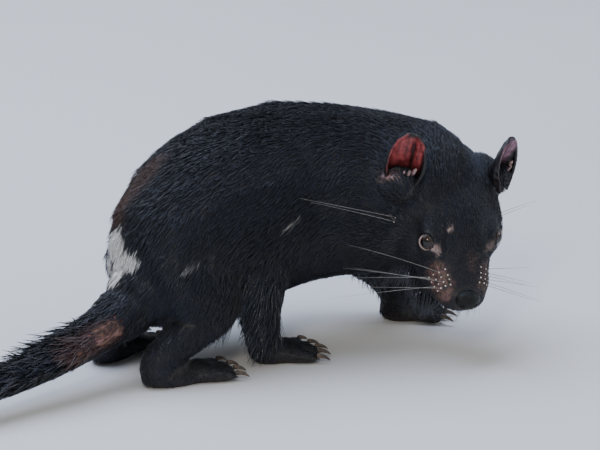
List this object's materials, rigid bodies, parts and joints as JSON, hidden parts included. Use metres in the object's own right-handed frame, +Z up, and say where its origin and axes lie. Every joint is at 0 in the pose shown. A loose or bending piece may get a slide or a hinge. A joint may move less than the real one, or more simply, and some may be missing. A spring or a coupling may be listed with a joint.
{
  "type": "animal figure",
  "caption": "Life-size still Tasmanian devil, crouched on flat feet with head turned aside and lowered, round cupped ears, clawed toes and a thick tapering tail.",
  "frame": {"origin": "centre of the bounding box's base, on the floor the feet stand on", "axes": "+X along the trunk from tail to shoulders, +Y to the animal's left, +Z up"},
  "size_m": [0.5492, 0.2266, 0.2034],
  "materials": {
    "coat": "short dense near-black fur, wet at the tail and forelegs",
    "foot_skin": "bare dark skin and thin fur",
    "claw": "horn",
    "ear_skin": "thin, nearly bare reddish skin",
    "eye": "wet, glossy dark brown",
    "nose": "moist bare skin"
  },
  "bodies": {
    "root": {"torso": "coat", "neck": "coat", "head": "coat", "tail_root": "coat", "tail_middle": "coat", "tail_end": "coat", "foreleg_right": "coat", "foreleg_left": "coat", "hindleg_right": "coat", "hindleg_left": "coat", "forefoot_right": "foot_skin", "forefoot_left": "foot_skin", "hindfoot_right": "foot_skin", "hindfoot_left": "foot_skin", "claw_forefoot_right_1": "claw", "claw_forefoot_right_2": "claw", "claw_forefoot_right_3": "claw", "claw_forefoot_right_4": "claw", "claw_forefoot_right_5": "claw", "claw_forefoot_left_1": "claw", "claw_forefoot_left_2": "claw", "claw_forefoot_left_3": "claw", "claw_forefoot_left_4": "claw", "claw_forefoot_left_5": "claw", "claw_hindfoot_right_1": "claw", "claw_hindfoot_right_2": "claw", "claw_hindfoot_right_3": "claw", "claw_hindfoot_right_4": "claw", "claw_hindfoot_left_1": "claw", "claw_hindfoot_left_2": "claw", "claw_hindfoot_left_3": "claw", "claw_hindfoot_left_4": "claw", "ear_right": "ear_skin", "ear_left": "ear_skin", "eye_right": "eye", "eye_left": "eye", "nose_pad": "nose"}
  },
  "joints": []
}
